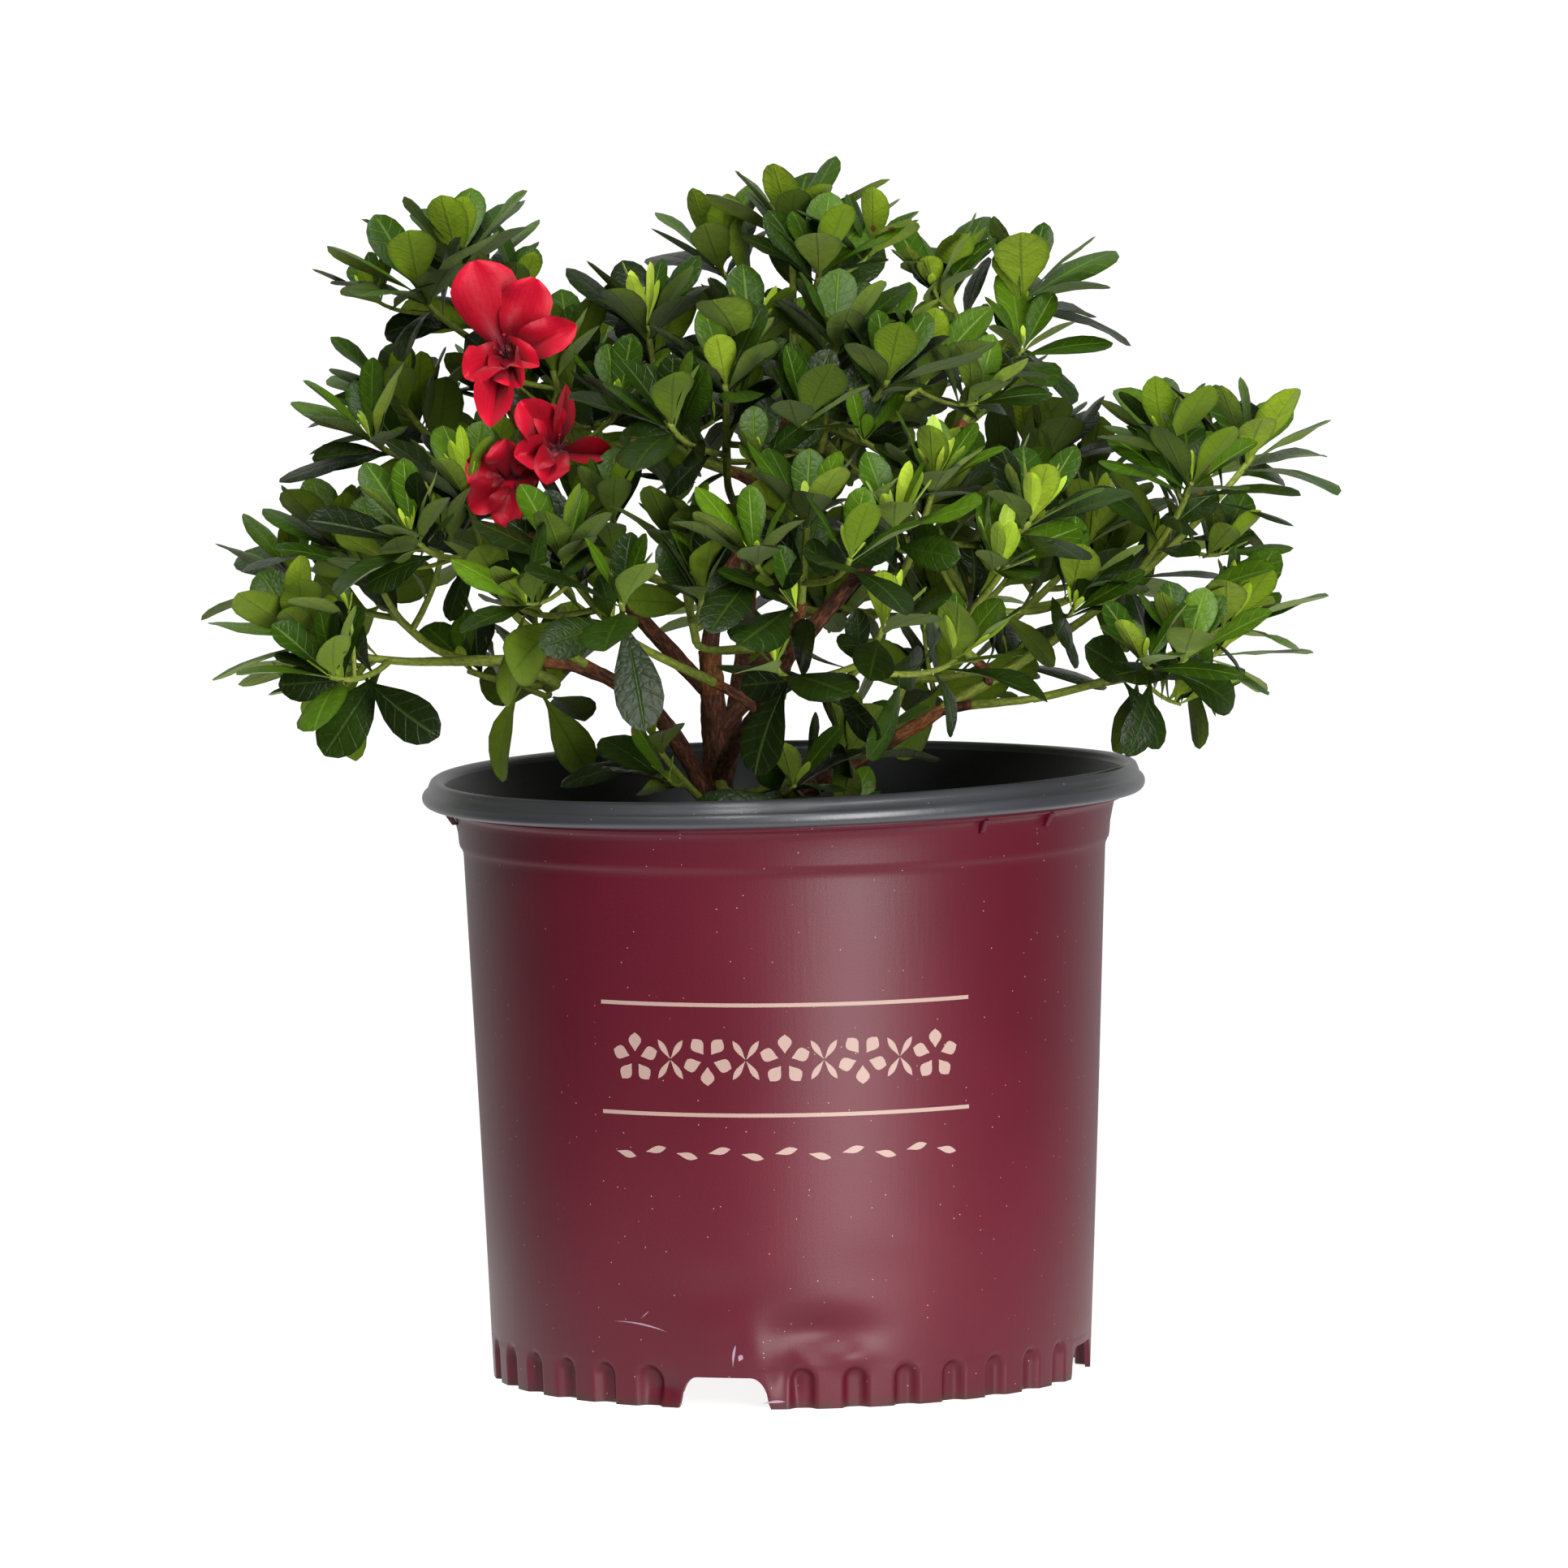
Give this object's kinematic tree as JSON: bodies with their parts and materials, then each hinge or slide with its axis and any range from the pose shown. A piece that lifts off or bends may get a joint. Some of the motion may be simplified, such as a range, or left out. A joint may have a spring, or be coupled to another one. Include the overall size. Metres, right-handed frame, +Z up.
{
  "type": "azalea shrub in a nursery pot",
  "caption": "Small evergreen azalea shrub with a few red flowers, its limbs low on a short trunk, standing in a round plastic nursery pot filled with potting mix.",
  "frame": {"origin": "centre of the pot's foot, at the level it stands on", "axes": "+Z up, +X to the right of the pot's front, +Y to its back"},
  "size_m": [0.4412, 0.4062, 0.4712],
  "materials": {
    "pot_plastic": "satin blow-moulded plastic, maroon outside and black inside",
    "potting_mix": "loose bark-based potting mix",
    "bark": "flaking brown bark",
    "young_bark": "green young bark with brown specks",
    "foliage": "leathery leaves on green twigs, with red blossom on one mass"
  },
  "bodies": {
    "root": {"pot": "pot_plastic", "soil": "potting_mix", "trunk": "bark", "limb_left_low": "bark", "limb_right_low": "bark", "limb_back": "bark", "limb_front": "bark", "limb_right_high": "bark", "limb_left_high": "bark", "limb_top": "bark", "bough_left_far_high": "young_bark", "bough_left_inner": "young_bark", "bough_left_mid": "young_bark", "bough_blossom": "young_bark", "bough_back_top_left": "young_bark", "bough_top_left": "young_bark", "bough_centre": "young_bark", "bough_front_upper": "young_bark", "bough_top_right": "young_bark", "bough_right_mid": "young_bark", "bough_right_front": "young_bark", "bough_right_low": "young_bark", "bough_right_under": "young_bark", "bough_right_inner": "young_bark", "bough_front_low": "young_bark", "bough_front_left": "young_bark", "bough_centre_left": "young_bark", "bough_back_left": "young_bark", "bough_back_right": "young_bark", "bough_back_low": "young_bark", "mass_left_far_low": "foliage", "mass_left_far_high": "foliage", "mass_left_inner": "foliage", "mass_left_upper": "foliage", "mass_left_mid": "foliage", "mass_blossom": "foliage", "mass_back_top_left": "foliage", "mass_top": "foliage", "mass_top_left": "foliage", "mass_centre": "foliage", "mass_front_upper": "foliage", "mass_top_right": "foliage", "mass_right_upper": "foliage", "mass_right_mid": "foliage", "mass_right_front": "foliage", "mass_right_far": "foliage", "mass_right_low": "foliage", "mass_right_under": "foliage", "mass_right_inner": "foliage", "mass_front_centre": "foliage", "mass_front_low": "foliage", "mass_front_left": "foliage", "mass_centre_left": "foliage", "mass_back_mid": "foliage", "mass_back_left": "foliage", "mass_back_right": "foliage", "mass_back_low": "foliage", "mass_left_under": "foliage", "mass_sprout_left": "foliage", "mass_sprout_right": "foliage"}
  },
  "joints": []
}
